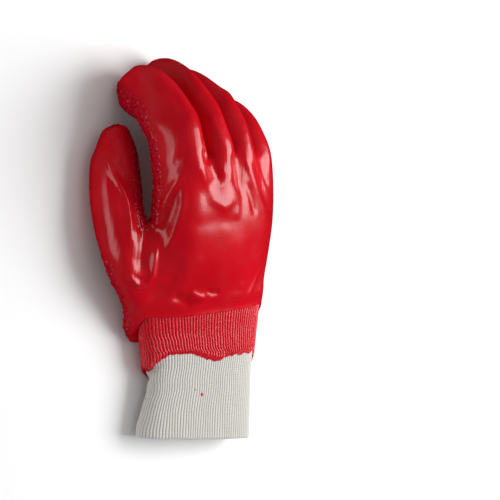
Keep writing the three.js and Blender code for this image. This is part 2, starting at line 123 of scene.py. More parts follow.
def used(points, faces):
    """The surface without the points that no face uses."""
    keep = np.unique(np.concatenate([np.array(face) for face in faces]))
    number = np.zeros(len(points), int)
    number[keep] = np.arange(len(keep))
    return points[keep], [tuple(number[i] for i in face) for face in faces]


def triangles(faces):
    """Each face cut into triangles that share its first corner."""
    return np.array([(f[0], f[i], f[i + 1]) for f in faces for i in range(1, len(f) - 1)])


def normals_of(points, faces):
    """The way out of the surface at each point."""
    tris = triangles(faces)
    a, b, c = (points[tris[:, i]] for i in range(3))
    cross = np.cross(b - a, c - a)
    total = np.zeros_like(points)
    for i in range(3):
        np.add.at(total, tris[:, i], cross)
    return total / np.maximum(np.linalg.norm(total, axis=1), 1e-12)[:, None]


def edges_of(faces):
    """The edges, and how many faces share each."""
    pairs = np.array([(f[i], f[(i + 1) % len(f)]) for f in faces for i in range(len(f))])
    return np.unique(np.sort(pairs, axis=1), axis=0, return_counts=True)


def evened(points, faces, times, amount=0.5, give_back=1.03):
    """The points after each has moved towards the middle of its neighbours, times over.

    Each step in is followed by a slightly longer one out, so that the form doesn't shrink.
    """
    edges, _ = edges_of(faces)
    count = np.bincount(edges.reshape(-1), minlength=len(points))[:, None]
    for _ in range(times):
        for share in (amount, -amount * give_back):
            middle = np.zeros_like(points)
            np.add.at(middle, edges[:, 0], points[edges[:, 1]])
            np.add.at(middle, edges[:, 1], points[edges[:, 0]])
            points = points + share * (middle / np.maximum(count, 1) - points)
    return points


def islands(points, faces):
    """The separate surfaces of a mesh, the widest first."""
    edges, _ = edges_of(faces)
    label = np.arange(len(points))
    while True:
        low = np.minimum(label[edges[:, 0]], label[edges[:, 1]])
        after = label.copy()
        np.minimum.at(after, edges[:, 0], low)
        np.minimum.at(after, edges[:, 1], low)
        after = after[after]
        if (after == label).all():
            break
        label = after
    groups = {}
    for face in faces:
        groups.setdefault(label[face[0]], []).append(face)
    found = [used(points, group) for group in groups.values()]
    return sorted(found, key=lambda part: -np.ptp(part[0], axis=0).prod())


def boundary_loop(faces):
    """The points of the one open edge of a surface, in order."""
    pairs = {}
    edges, count = edges_of(faces)
    single = {tuple(edge) for edge in edges[count == 1]}
    for f in faces:
        for i in range(len(f)):
            a, b = f[i], f[(i + 1) % len(f)]
            if (min(a, b), max(a, b)) in single:
                pairs[a] = b
    start = next(iter(pairs))
    loop = [start]
    while pairs[loop[-1]] != start:
        loop.append(pairs[loop[-1]])
    return loop


def smooth_between(x, low, high):
    """0 up to low, 1 from high on, and a smooth slope between."""
    t = np.clip((x - low) / (high - low), 0, 1)
    return t * t * (3 - 2 * t)


def keep_above(points, height):
    """Lifts the points that lie lower than a height over the table."""
    points[:, 2] = np.maximum(points[:, 2], height)


FLOOR_GAP = 0.1 * MM  # how far the coat and the cuff stay over the table
print("floor gap", round(FLOOR_GAP / MM, 2), "mm")


# %% [markdown]
# The hand's two skins
#
# The hand solid has an outer skin, an inner one and a narrow rim between them. The rim's faces are
# the only ones near the wrist with such short edges. Without them the two skins come apart.

# %% Take the two skins off the solid
HAND_WALL = 1.9 * MM
RIM_SIDE = -30 * MM  # the rim lies nearer to the cuff than this
hand_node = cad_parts["coated_hand"]
points, faces = welded(*arrays(hand_node))


def is_rim(face):
    """Whether a face is one of the narrow ones between the two skins."""
    corners = points[list(face)]
    shortest = min(np.linalg.norm(corners[i] - corners[i - 1]) for i in range(3))
    return corners[:, 1].mean() < RIM_SIDE and shortest < 1.2 * HAND_WALL


skins = islands(points, [face for face in faces if not is_rim(face)])
print("skins:", [len(part[1]) for part in skins])


def rounded(name, points, faces, levels):
    """Joins triangles into quads where it can, and subdivides them into a smooth surface."""
    obj = build(name, points, faces)
    bm = bmesh.new()
    bm.from_mesh(obj.data)
    bmesh.ops.join_triangles(bm, faces=bm.faces, angle_face_threshold=0.8, angle_shape_threshold=1.4)
    bm.to_mesh(obj.data)
    bm.free()
    subdivide = obj.modifiers.new("round", "SUBSURF")
    subdivide.levels = levels
    found = arrays(obj)
    bpy.data.objects.remove(obj)
    return found


outer_points, outer_faces = rounded("outer", *skins[0], 2)
inner_points, inner_faces = rounded("inner", *skins[1], 1)
rim = boundary_loop(outer_faces)
print("outer skin:", len(outer_faces), "quads, rim of", len(rim), "points")

# %% [markdown]
# An even surface for the coat
#
# The folds need points about a millimetre apart everywhere. The skin is run on past the rim and
# closed, remeshed in small cubes, evened out, and then cut back to the rim.

# %% Remesh the coat
SPACING = 1.1 * MM
RUN_ON = 9 * MM
EVENINGS = 34
rim_points = outer_points[rim]
rim_middle = rim_points.mean(axis=0)
skirt = rim_points - np.array([0, RUN_ON, 0])
start = len(outer_points)
closed_points = np.concatenate([outer_points, skirt, [skirt.mean(axis=0)]])
closed_faces = list(outer_faces)
for i in range(len(rim)):
    j = (i + 1) % len(rim)
    closed_faces.append((rim[j], rim[i], start + i, start + j))
    closed_faces.append((start + j, start + i, start + len(rim)))
closed = build("closed", closed_points, closed_faces)
remesh = closed.modifiers.new("remesh", "REMESH")
remesh.mode = "VOXEL"
remesh.voxel_size = SPACING
remesh.use_smooth_shade = True
coat_points, coat_faces = arrays(closed)
bpy.data.objects.remove(closed)
coat_points = evened(coat_points, coat_faces, EVENINGS)
print("remeshed:", len(coat_points), "points")

# %% Cut it back to the rim
def around(points):
    """The angle of each point round the middle of the rim."""
    away = points - rim_middle
    return np.arctan2(away[:, 2], away[:, 0])


order = np.argsort(around(rim_points))
turn = around(rim_points)[order]
rim_table = np.concatenate([turn - 2 * np.pi, turn, turn + 2 * np.pi])
rim_y = np.tile(rim_points[order][:, 1], 3)


def rim_at(points):
    """The rim's place along the glove, at the same way round as each point."""
    return np.interp(around(points), rim_table, rim_y)


ALLOWED = 0.4 * SPACING  # a face may reach this far past the rim
past_rim = coat_points[:, 1] - rim_at(coat_points)
coat_faces = [face for face in coat_faces if min(past_rim[list(face)]) > -ALLOWED]
coat_points, coat_faces = islands(coat_points, coat_faces)[0]
loop = boundary_loop(coat_faces)
coat_points[loop, 1] = rim_at(coat_points[loop])
print("coat:", len(coat_points), "points, rim of", len(loop))

# %% [markdown]
# The crumb on the palm side
#
# The palm side of such a glove is dipped once more with grains in the wet coat, which stand up as
# fused crumb. The palm side is found from the line through each finger: a point is on it where
# it lies on the side that the finger bends towards. There the coat is cut finer and raised in lumps.

# %% Find the palm side
FINGER_LINES = {
    "index": [(-31, 42, 50), (-31, 66, 50.5), (-31.5, 88, 43), (-34, 96, 32), (-34.5, 101, 18)],
    "middle": [(-5, 20, 50), (-5, 66, 51), (-6, 88, 42), (-6.5, 96, 36), (-7, 104, 26), (-8, 112, 11)],
    "ring": [(17, 14, 43), (17, 66, 44), (16, 88, 34), (14.5, 96, 25), (14, 104, 15)],
    "little": [(39, 12, 38), (39, 66, 38), (38, 78, 32), (38, 79, 20)],
    "thumb": [(-46.8, -3, 25), (-52.4, 10.5, 22), (-53, 36.5, 16.7), (-52.4, 51, 15.7), (-50.4, 80, 14.3)],
}
THUMB_PALM = np.array([0.97, 0, -0.24])
ROOT_FADE = 14 * MM  # within this length of its root a finger's own bend takes over
FINGER_NEAR, FINGER_FAR = 18 * MM, 24 * MM  # a finger's line counts up to here, and fades out here
BORDER = -0.14  # where the crumb ends, between 1 on the palm side and -1 on the back
SOFTENINGS = 8


def palm_side(points, normals):
    """From 1 on the palm side to -1 on the back."""
    best = np.full(len(points), 1e9)
    value = -normals[:, 2]
    found = value.copy()
    for name, line in FINGER_LINES.items():
        line = np.array(line) * MM
        so_far = 0
        for a, b in zip(line, line[1:]):
            length = np.linalg.norm(b - a)
            way = (b - a) / length
            place = np.clip((points - a) @ way, 0, length)
            off = points - a - place[:, None] * way
            far = np.linalg.norm(off, axis=1)
            palm = THUMB_PALM if name == "thumb" else np.cross(way, (1, 0, 0))
            side = off @ palm / np.maximum(far, 1e-6)
            share = smooth_between(so_far + place, 0, ROOT_FADE)
            share = share * smooth_between(-far, -FINGER_FAR, -FINGER_NEAR)
            nearer = far < best
            best[nearer] = far[nearer]
            found[nearer] = (value * (1 - share) + side * share)[nearer]
            so_far += length
    return found


normals = normals_of(coat_points, coat_faces)
palm = palm_side(coat_points, normals)
edges, _ = edges_of(coat_faces)
count = np.maximum(np.bincount(edges.reshape(-1), minlength=len(palm)), 1)
for _ in range(SOFTENINGS):
    ahead = np.bincount(edges[:, 0], palm[edges[:, 1]], len(palm))
    behind = np.bincount(edges[:, 1], palm[edges[:, 0]], len(palm))
    palm = 0.4 * palm + 0.6 * (ahead + behind) / count
print("share of the coat with crumb:", round(float((palm > BORDER).mean()), 2))

# %% [markdown]
# The fingers, brought to where the picture shows them
#
# The solids give the hand its form. A few places of the fingers are then moved across the picture by
# some pixels, and everything near each place goes along with it, the liner too.

# %% Shift the fingers a little
SHIFTS = [  # a place in the picture, and how far it moves, in pixels
    ((145, 67), (-5, -1)), ((124, 70), (2, 2)), ((115, 86), (2.5, -1)), ((156, 68), (-10, -3)),
    ((171, 64), (-10, -7)), ((203, 78), (-15, -10)), ((244, 111), (-12, -15)), ((266, 129), (-6, -6)),
    ((218, 95), (-10, -5)), ((184, 91), (-3, 3)), ((200, 125), (0, 1)), ((229, 119), (-5, -3)),
    ((250, 131), (-1, -3)), ((271, 150), (0, 0)), ((136, 107), (-3, 3)), ((147, 120), (-10, 2)),
    ((151, 133), (-8, 0)), ((153, 150), (-2, 0)), ((170, 106), (0, 0)), ((165, 140), (0, 0)),
    ((235, 155), (0, 0)), ((205, 160), (3, 4)), ((180, 180), (0, 0)), ((255, 165), (0, 0)),
    ((110, 130), (0, 0)), ((130, 338), (-5, -1)), ((118, 306), (3, 0)), ((150, 330), (0, 0)),
    ((112, 270), (0, 0)), ((95, 140), (6, 1)), ((102, 130), (5, 2)), ((92, 165), (0.5, 0)),
    ((117, 128), (1, -1)), ((136, 145), (-1, 0)),
]
REACH = 15  # pixels
STILL = 0.12  # the weight with which a point stays where it is


def shifted(points, shifts):
    """Points after they have gone along with the shifts near them in the picture."""
    spots = picture(points)
    total, weight = np.zeros((len(points), 2)), np.full(len(points), STILL)
    for place, move in shifts:
        w = np.exp(-(((spots - np.array(place)) / REACH) ** 2).sum(axis=1))
        total += w[:, None] * np.array(move)
        weight += w
    move = total / weight[:, None] / PIXELS_PER_MM * MM
    return points + move[:, :1] * np.array(right) - move[:, 1:] * np.array(up)


unmoved = coat_points
coat_points, inner_points = shifted(coat_points, SHIFTS), shifted(inner_points, SHIFTS)
print("furthest shift:", round(np.linalg.norm(coat_points - unmoved, axis=1).max() / MM, 1), "mm")
keep_above(coat_points, 0.3 * MM)
print("highest point now", coat_points[:, 2].max().round(4), "furthest", coat_points[:, 1].max().round(4))

# %% [markdown]
# Folds where the photograph shows them
#
# Each fold is a line drawn over the picture. Points of the coat that face the camera are measured
# against the line as the camera sees them, and move out or in along their own normals: a
# positive height makes a ridge, a negative one a valley. A fold fades out at both of its ends.

# %% Fold table
FOLDS = [
    # thumb: the bright ridge like a C, the hollow inside it, and the groove down to its web
    {"line": [(121, 136), (112, 142), (107, 150), (108, 160), (112, 172)], "width": 2.6, "height": 1.3},
    {"line": [(107, 154), (112, 172), (121, 187), (127, 202), (130, 222), (131, 246)],
     "width": 3.0, "height": 1.6},
    {"line": [(122, 150), (120, 162), (126, 176), (134, 190)], "width": 6, "height": -1.1},
    {"line": [(101, 150), (98, 178), (100, 215)], "width": 6, "height": -0.4},
    {"line": [(141, 212), (145, 232), (143, 256), (141, 276)], "width": 6, "height": -2.4},
    {"line": [(127, 268), (131, 279), (138, 285), (146, 284), (152, 276), (154, 262), (157, 242)],
     "width": 2.7, "height": 1.9},
    {"line": [(117, 236), (111, 258), (116, 280)], "width": 8, "height": -0.5},
    # beside the crotch: a fold like a leaf, pointing up the index finger
    {"line": [(160, 214), (166, 200), (174, 186), (184, 173)], "width": 3.2, "height": 1.2},
    {"line": [(176, 186), (174, 204), (167, 222), (160, 240)], "width": 5, "height": -1.2},
    {"line": [(183, 180), (182, 205), (176, 230), (164, 256)], "width": 4, "height": 0.9},
    # knuckles and fingers
    {"line": [(165, 88), (180, 106), (190, 120)], "width": 6, "height": -0.6},
    {"line": [(152, 80), (160, 94), (171, 104), (181, 110)], "width": 3.5, "height": 0.35},
    {"line": [(186, 66), (196, 78), (206, 90)], "width": 3, "height": 0.35},
    {"line": [(200, 92), (208, 104), (216, 116)], "width": 4, "height": -0.45},
    {"line": [(206, 110), (214, 124), (226, 146)], "width": 4, "height": 0.45},
    {"line": [(186, 140), (182, 154), (172, 168)], "width": 5, "height": -0.5},
    {"line": [(203, 146), (210, 160), (217, 174), (222, 186)], "width": 4.5, "height": -1.7},
    {"line": [(196, 150), (205, 178), (214, 200), (225, 207), (233, 200), (236, 184)],
     "width": 5, "height": 0.7},
    {"line": [(234, 150), (238, 172), (241, 196)], "width": 3.5, "height": -1.0},
    {"line": [(236, 182), (238, 204), (237, 222)], "width": 3.5, "height": 0.7},
    {"line": [(243, 150), (252, 176), (262, 204), (268, 222)], "width": 2.8, "height": 0.9},
    {"line": [(246, 180), (252, 200), (256, 218)], "width": 2.8, "height": -0.8},
    {"line": [(254, 146), (261, 170), (267, 196)], "width": 2.8, "height": 0.7},
    {"line": [(259, 160), (264, 178), (268, 190)], "width": 2.2, "height": -0.7},
    # across the back, towards the seam
    {"line": [(188, 229), (205, 224), (222, 221), (240, 222)], "width": 8, "height": -0.55},
    {"line": [(180, 259), (190, 262), (204, 258)], "width": 5, "height": 0.35},
    {"line": [(168, 284), (176, 272), (186, 276)], "width": 6, "height": -0.5},
    {"line": [(172, 295), (183, 301), (193, 307)], "width": 5, "height": -1.3},
    {"line": [(189, 292), (198, 297), (207, 298)], "width": 4, "height": 1.2},
    {"line": [(205, 289), (213, 293), (221, 291)], "width": 3.2, "height": -0.9},
    {"line": [(232, 300), (241, 292), (243, 280)], "width": 3.5, "height": 0.45},
    {"line": [(150, 262), (146, 288), (142, 312)], "width": 7, "height": 0.5},
    {"line": [(128, 300), (136, 318), (140, 332)], "width": 5, "height": -0.6},
    {"line": [(244, 309), (250, 292), (257, 276), (262, 262)], "width": 1.4, "height": 0.4},
    {"line": [(259, 306), (262, 286), (266, 262), (269, 246)], "width": 3, "height": 0.6},
]


print("folds:", len(FOLDS))


def distance_to_line(spots, line):
    """The distance from each spot to a line of points, and how far along the line it is nearest."""
    line = np.array(line, float)
    lengths = np.linalg.norm(np.diff(line, axis=0), axis=1)
    starts = np.concatenate([[0], np.cumsum(lengths)])
    best = np.full(len(spots), 1e9)
    along = np.zeros(len(spots))
    for i, length in enumerate(lengths):
        way = (line[i + 1] - line[i]) / length
        place = np.clip((spots - line[i]) @ way, 0, length)
        away = np.linalg.norm(spots - line[i] - place[:, None] * way, axis=1)
        nearer = away < best
        best[nearer] = away[nearer]
        along[nearer] = (starts[i] + place[nearer]) / starts[-1]
    return best, along


# %% Fold the coat
END_FADE = 0.25  # the share of a fold over which each of its ends fades out
RIM_CALM = 6 * MM  # the folds grow from nothing over this length from the rim
normals = normals_of(coat_points, coat_faces)
spots = picture(coat_points)
facing = smooth_between(normals @ np.array(toward), 0.05, 0.35)  # only what the camera sees moves
lift = np.zeros(len(coat_points))
for fold in FOLDS:
    away, along = distance_to_line(spots, fold["line"])
    fade = smooth_between(along, -0.02, END_FADE) * smooth_between(-along, -1.02, END_FADE - 1)
    lift += fold["height"] * MM * np.exp(-((away / fold["width"]) ** 2)) * fade
from_rim = coat_points[:, 1] - rim_at(coat_points)
lift *= facing * smooth_between(from_rim, 0, RIM_CALM)
print("folds move the coat by", round(lift.min() / MM, 2), "to", round(lift.max() / MM, 2), "mm")

# %% [markdown]
# The liner under the folds
#
# The cotton liner sticks to the coat, so a valley in the coat has to press it in too, or it would
# show through. Each point of the liner takes the depth of the nearest point of the coat.

# %% The liner follows the folds
LINER_ROOM = 0.5 * MM
LINER_START = 9 * MM  # it begins this far in from the rim
nearest = kdtree.KDTree(len(coat_points))
for i, point in enumerate(coat_points):
    nearest.insert(point, i)
nearest.balance()
beside = np.array([nearest.find(point)[1] for point in inner_points])
inner_points = inner_points + normals[beside] * (np.minimum(lift[beside], 0) - LINER_ROOM)[:, None]
coat_points = coat_points + normals * lift[:, None]
keep_above(inner_points, 0.8 * MM)
liner_past = inner_points[:, 1] - rim_at(inner_points)
inner_faces = [face for face in inner_faces if min(liner_past[list(face)]) > LINER_START]
inner_points, inner_faces = islands(inner_points, inner_faces)[0]
print("liner:", len(inner_faces), "faces")

# %% [markdown]
# The coat's rim, drawn in to the band
#
# On the real glove the hand is sewn to the band, so its edge lies close on the ribs nearly all the
# way round. The last centimetre of the coat is drawn in towards the nearest place of the band, and
# a narrow lip turns from the edge on to the ribs. At the thumb's side the edge stands off as a shelf.

# %% Draw the rim in
band_tree = BVHTree.FromObject(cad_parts["coated_band"], bpy.context.evaluated_depsgraph_get())
MOST_DRAWN = 3.2 * MM
EDGE_GAP = 0.7 * MM  # what stays open between the coat's edge and the band
DRAWN_LENGTH = 11 * MM


def on_band(point):
    """The nearest place of the band to a point, and the way out of it there."""
    place, out = band_tree.find_nearest(Vector(point))[:2]
    return np.array(place), np.array(out)


def smoothed_round(values, reach):
    """Values round a ring, each the mean of those up to reach away from it."""
    return sum(np.roll(values, o, axis=0) for o in range(-reach, reach + 1)) / (2 * reach + 1)


loop = boundary_loop(coat_faces)
drawn = []
for point in coat_points[loop]:
    gap = on_band(point)[0] - point
    far = np.linalg.norm(gap)
    drawn.append(gap / far * np.clip(far - EDGE_GAP, 0, MOST_DRAWN))
drawn = smoothed_round(np.array(drawn), 6)
turn = around(coat_points[loop])
order = np.argsort(turn)
from_rim = coat_points[:, 1] - rim_at(coat_points)
near_rim = 1 - smooth_between(from_rim, 0, DRAWN_LENGTH)
for axis in range(3):
    move = np.interp(around(coat_points), turn[order], drawn[order, axis], period=2 * np.pi)
    coat_points[:, axis] += near_rim * move
keep_above(coat_points, FLOOR_GAP)
print("rim drawn in by up to", round(np.linalg.norm(drawn, axis=1).max() / MM, 2), "mm")

# %% Turn a lip on to the band
LIP_ROWS = 6
LIP_SUNK = 0.4 * MM  # how deep the lip's foot sits in the band
LIP_DROP = 1.1 * MM  # how far the lip runs on before it turns in
edge = coat_points[loop]
feet = np.array([place - out * LIP_SUNK for place, out in map(on_band, edge)])
feet = smoothed_round(feet, 3)
knee = edge + (feet - edge) * 0.25 - np.array([0, LIP_DROP, 0])
lip_rings = []
lip_faces = []
ring_before = np.array(loop)
for row in range(1, LIP_ROWS + 1):
    s = row / LIP_ROWS
    lip_rings.append((1 - s) ** 2 * edge + 2 * s * (1 - s) * knee + s * s * feet)
    ring = len(coat_points) + (row - 1) * len(loop) + np.arange(len(loop))
    corners = zip(ring_before, np.roll(ring_before, -1), ring, np.roll(ring, -1))
    lip_faces += [(int(b), int(a), int(c), int(d)) for a, b, c, d in corners]
    ring_before = ring
coat_points = np.concatenate([coat_points, *lip_rings])
keep_above(coat_points, FLOOR_GAP)
coat_faces = coat_faces + lip_faces
print("lip:", len(lip_faces), "faces")

# %% [markdown]
# Crumb in relief
#
# The faces of the palm side are cut into four each, so that every grain has points of its own, and
# the points move out by cell noise: each cell is a grain. The crumb is a mesh apart. Past its border
# it dips under the smooth coat, and the smooth coat goes on for a little under it, so no gap shows.

# %% Cut the palm side finer
UNDER_COAT = 0.12  # how far the crumb's mesh goes on past the border
UNDER_CRUMB = 0.25  # how far the smooth coat goes on inside the border


def finer(points, faces):
    """Each four-sided face cut into four, and a function that spreads values to the new points."""
    quads = np.array(faces)
    sides = np.sort(np.stack([quads, np.roll(quads, -1, axis=1)], 2), axis=2).reshape(-1, 2)
    pairs, number = np.unique(sides, axis=0, return_inverse=True)
    middle = len(points) + number.reshape(-1, 4)
    centre = len(points) + len(pairs) + np.arange(len(quads))
    cut = [np.stack([quads[:, i], middle[:, i], centre, middle[:, i - 1]], 1) for i in range(4)]

    def spread(values):
        """A new point takes the mean of the corners that it lies between."""
        return np.concatenate([values, values[pairs].mean(axis=1), values[quads].mean(axis=1)])

    return spread(points), np.concatenate(cut), spread


past_rim = coat_points[:, 1] - rim_at(coat_points)
normals = normals_of(coat_points, coat_faces)
palm = np.concatenate([palm, np.full(len(coat_points) - len(palm), -1.0)])  # the lip stays smooth
near_crumb = palm > BORDER - UNDER_COAT
deep_in_crumb = palm > BORDER + UNDER_CRUMB
crumb_faces = [face for face in coat_faces if near_crumb[list(face)].all()]
bare_faces = [face for face in coat_faces if not deep_in_crumb[list(face)].all()]
fine_points, fine_faces, spread = finer(coat_points, crumb_faces)
fine_normals, fine_palm, fine_past = spread(normals), spread(palm), spread(past_rim)
keep = np.unique(fine_faces)
renumber = np.zeros(len(fine_points), int)
renumber[keep] = np.arange(len(keep))
fine_faces = renumber[fine_faces]
fine_points, fine_normals = fine_points[keep], fine_normals[keep]
fine_palm, fine_past = fine_palm[keep], fine_past[keep]
print("crumb faces:", len(fine_faces))

# %% Raise the grains
GRAIN = 1.8 * MM
SUNK = 0.3 * MM  # past its border the crumb's mesh lies this deep under the coat
BED = 0.4 * MM  # the layer that the grains sit in
GRAIN_HEIGHT = 1.05 * MM
RAGGED = 0.07  # how far the border strays to either side
noise.seed_set(5)  # without a seed the grains would be warped differently in each run


def lumps(points, size):
    """Heights of fused grains: round tops with narrow clefts between, some grains lower."""
    heights = np.empty(len(points))
    for i, point in enumerate(points / size):
        warp = noise.noise_vector(Vector(point * 0.6)) * 0.35
        (near, second, *_), (grain, *_) = noise.voronoi(Vector(point) + warp)
        heights[i] = min(1, (second - near) * 1.9) ** 0.6 * (0.55 + 0.45 * noise.cell(grain * 7.3))
    return heights


def uneven(point):
    """Noise in two sizes, for the crumb's ragged border."""
    return noise.noise(Vector(point) / (5 * MM)) + 0.6 * noise.noise(Vector(point) / (1.7 * MM))


reach = fine_palm + RAGGED * np.array([uneven(point) for point in fine_points])
body = smooth_between(reach, BORDER - 0.05, BORDER + 0.22) * smooth_between(fine_past, 0.5 * MM, 4 * MM)
height = -SUNK + body * (BED + GRAIN_HEIGHT * lumps(fine_points, GRAIN))
crumb_points = fine_points + fine_normals * height[:, None]
keep_above(crumb_points, 0.05 * MM)
print("crumb stands up to", round(height.max() / MM, 2), "mm")

# %% [markdown]
# The hand in four pieces
#
# They are the smooth coat, the crumb of the palm, the crumb of the fingers and the liner inside. The
# crumb is cut in two because it is the finest mesh here. Each piece rides on the glove's one body.

# %% The hand's pieces
FINGERS_FROM = 20 * MM
coat = build("hand_coat", *used(coat_points, bare_faces))
liner = build("hand_liner", inner_points, inner_faces)
is_finger = crumb_points[fine_faces].mean(axis=1)[:, 1] > FINGERS_FROM
palm_faces, finger_faces = (
    [tuple(map(int, face)) for face in fine_faces[chosen]] for chosen in (~is_finger, is_finger)
)
palm_crumb = build("palm_crumb", *used(crumb_points, palm_faces))
finger_crumb = build("finger_crumb", *used(crumb_points, finger_faces))
for piece, slot in ((coat, "coating"), (palm_crumb, "coating"), (finger_crumb, "coating"), (liner, "knit")):
    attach(piece, "root")
    print(piece.name, len(piece.data.polygons), "faces")
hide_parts("coated_hand")

# %% [markdown]
# The wrist's form, read off its solids
#
# Rays find each wall all the way round, at planes along the wrist: from outside for an outer wall,
# from the middle for the inner one. The points are then spread evenly round and smoothed, so that
# the solid's own coarse ribs go and finer ones can take their place.

# %% Sections of the wrist
RIBS = 94
PER_RIB = 8  # points round the wrist for each rib
INSIDE_PER_RIB = 4
RAYS = 1200
FROM_FAR = 0.12  # where a ray from outside starts
LEAST_REACH = 4 * MM  # a hit nearer to the middle than this is a stray one


def wrist_middle(y):
    """The middle of the wrist's hollow at a place along it."""
    return Vector((0.0155, y, 0.0125 + 0.0025 * float(smooth_between(y, -0.07, -0.035))))


def sections(node, stations, columns, outside):
    """Points (x, z) of a wall round the wrist, for each station along it."""
    tree = BVHTree.FromObject(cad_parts[node], bpy.context.evaluated_depsgraph_get())
    reach = np.full((len(stations), RAYS), np.nan)
    for row, y in enumerate(stations):
        middle = wrist_middle(y)
        for k in range(RAYS):
            way = Vector((math.cos(2 * math.pi * k / RAYS), 0, math.sin(2 * math.pi * k / RAYS)))
            ray = (middle + way * FROM_FAR, -way) if outside else (middle, way)
            hit = tree.ray_cast(*ray)[0]
            if hit is not None and (hit - middle).dot(way) > LEAST_REACH:
                reach[row, k] = (hit - middle).dot(way)
    count = len(stations)
    onwards = [(i, i - 1) for i in range(1, count)]
    backwards = [(i, i + 1) for i in range(count - 2, -1, -1)]
    for row, beside in onwards + backwards:  # where no ray hit, the next station's reach is taken
        lost = np.isnan(reach[row])
        reach[row, lost] = reach[beside, lost]
    found = np.empty((count, columns, 2))
    angle = 2 * np.pi * np.arange(RAYS + 1) / RAYS
    for row, y in enumerate(stations):
        middle = wrist_middle(y)
        ring = np.append(reach[row], reach[row, 0])
        x, z = middle.x + ring * np.cos(angle), middle.z + ring * np.sin(angle)
        length = np.concatenate([[0], np.cumsum(np.hypot(np.diff(x), np.diff(z)))])
        wanted = length[-1] * np.arange(columns) / columns
        found[row] = np.stack([np.interp(wanted, length, x), np.interp(wanted, length, z)], 1)
    width = columns / RIBS * 0.8
    offsets = np.arange(-int(3 * width), int(3 * width) + 1)
    weights = np.exp(-0.5 * (offsets / width) ** 2)
    return sum(w * np.roll(found, o, axis=1) for o, w in zip(offsets, weights)) / weights.sum()


def at_rows(table, stations, y):
    """The section's points at rows of the wrist that have a y of their own for each column."""
    place = np.clip((y - stations[0]) / (stations[1] - stations[0]), 0, len(stations) - 1.001)
    low = place.astype(int)
    share = (place - low)[..., None]
    column = np.broadcast_to(np.arange(table.shape[1]), y.shape)
    return table[low, column] * (1 - share) + table[low + 1, column] * share


def outwards(xz):
    """The way out of each ring's wall, in its own plane."""
    along = np.roll(xz, -1, axis=1) - np.roll(xz, 1, axis=1)
    out = np.stack([along[..., 1], -along[..., 0]], -1)
    return out / np.maximum(np.linalg.norm(out, axis=-1, keepdims=True), 1e-9)


def grid_faces(rows, columns, flip=False):
    """Four-sided faces between rows of points that run round."""
    faces = []
    for r in range(rows - 1):
        low, high = r * columns, (r + 1) * columns
        for c in range(columns):
            d = (c + 1) % columns
            face = (low + c, low + d, high + d, high + c)
            faces.append(face[::-1] if flip else face)
    return faces


columns = RIBS * PER_RIB
inside_columns = RIBS * INSIDE_PER_RIB
band_stations = np.arange(-86.0, -33.9, 2.0) * MM
band_wall = sections("coated_band", band_stations, columns, True)
knit_stations = np.arange(-117.0, -52.9, 2.0) * MM
knit_wall = sections("knit_wrist", knit_stations, columns, True)
knit_inside = sections("knit_wrist", knit_stations, inside_columns, False)
print("wall sections:", band_wall.shape, knit_wall.shape)

# %% [markdown]
# The dip line
#
# The coat ends on the wrist in an uneven line, as deep as the glove went into the bath. The line is
# read off the solid's edge, brought to where the photograph shows it, and given a small step from
# rib to rib, because the wet coat creeps further down some ribs than others.

# %% The dip line
DIP_MIDDLE = -0.060
BESIDE = 24  # how many points of the solid are looked at for each place round the wrist
JAG = 0.45
SHOWN_X = [140, 150, 157, 163, 176, 190, 200, 209, 217, 222, 226, 232, 243, 256]
SHOWN_Y = [373, 366, 361, 357, 354, 353.5, 356, 359.5, 361.5, 361, 357.5, 355.5, 354.5, 352.5]
band_points, _ = welded(*arrays(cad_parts["coated_band"]))
dip = np.empty(columns)
ring_at_dip = at_rows(band_wall, band_stations, np.full((1, columns), DIP_MIDDLE))[0]
for c in range(columns):
    away = np.hypot(band_points[:, 0] - ring_at_dip[c, 0], band_points[:, 2] - ring_at_dip[c, 1])
    dip[c] = band_points[np.argsort(away)[:BESIDE], 1].min()
dip = smoothed_round(dip, 10)
phase = np.arange(columns) / PER_RIB
steps = np.random.default_rng(5).normal(0, JAG, RIBS)
jag = np.interp(phase, np.arange(RIBS + 1), np.append(steps, steps[0])) * MM
ring_spots = picture(np.stack([ring_at_dip[:, 0], dip, ring_at_dip[:, 1]], 1))
ring_way = outwards(ring_at_dip[None])[0]
faces_camera = smooth_between(ring_way @ np.array([toward.x, toward.z]), 0.15, 0.45)
lower = (ring_spots[:, 1] - np.interp(ring_spots[:, 0], SHOWN_X, SHOWN_Y)) / PIXELS_PER_MM * MM
dip_line = dip + faces_camera * lower + jag
print("dip line from", dip_line.min().round(4), "to", dip_line.max().round(4))


# %% Rib profiles
def rib(phase, narrow):
    """1 on a rib and 0 in the groove between two."""
    away = np.abs(phase - np.round(phase))
    return 1 - np.exp(-((away / narrow) ** 2))


def wobble(phase, y):
    """How far the ribs stray to either side, as in any knit that has been worn or handled."""
    return 0.12 * np.sin(phase * 0.37 + y * 90) + 0.08 * np.sin(phase * 0.9 - y * 160)


# %% [markdown]
# The coated band
#
# On the real glove this is the upper part of the knitted wrist, dipped together with the hand, so
# its ribs stand out under a thin coat. Rows of points run from the dip line to under the rim of the
# hand. At the dip line the coat starts just over the knit and gains its thickness in 3 mm.

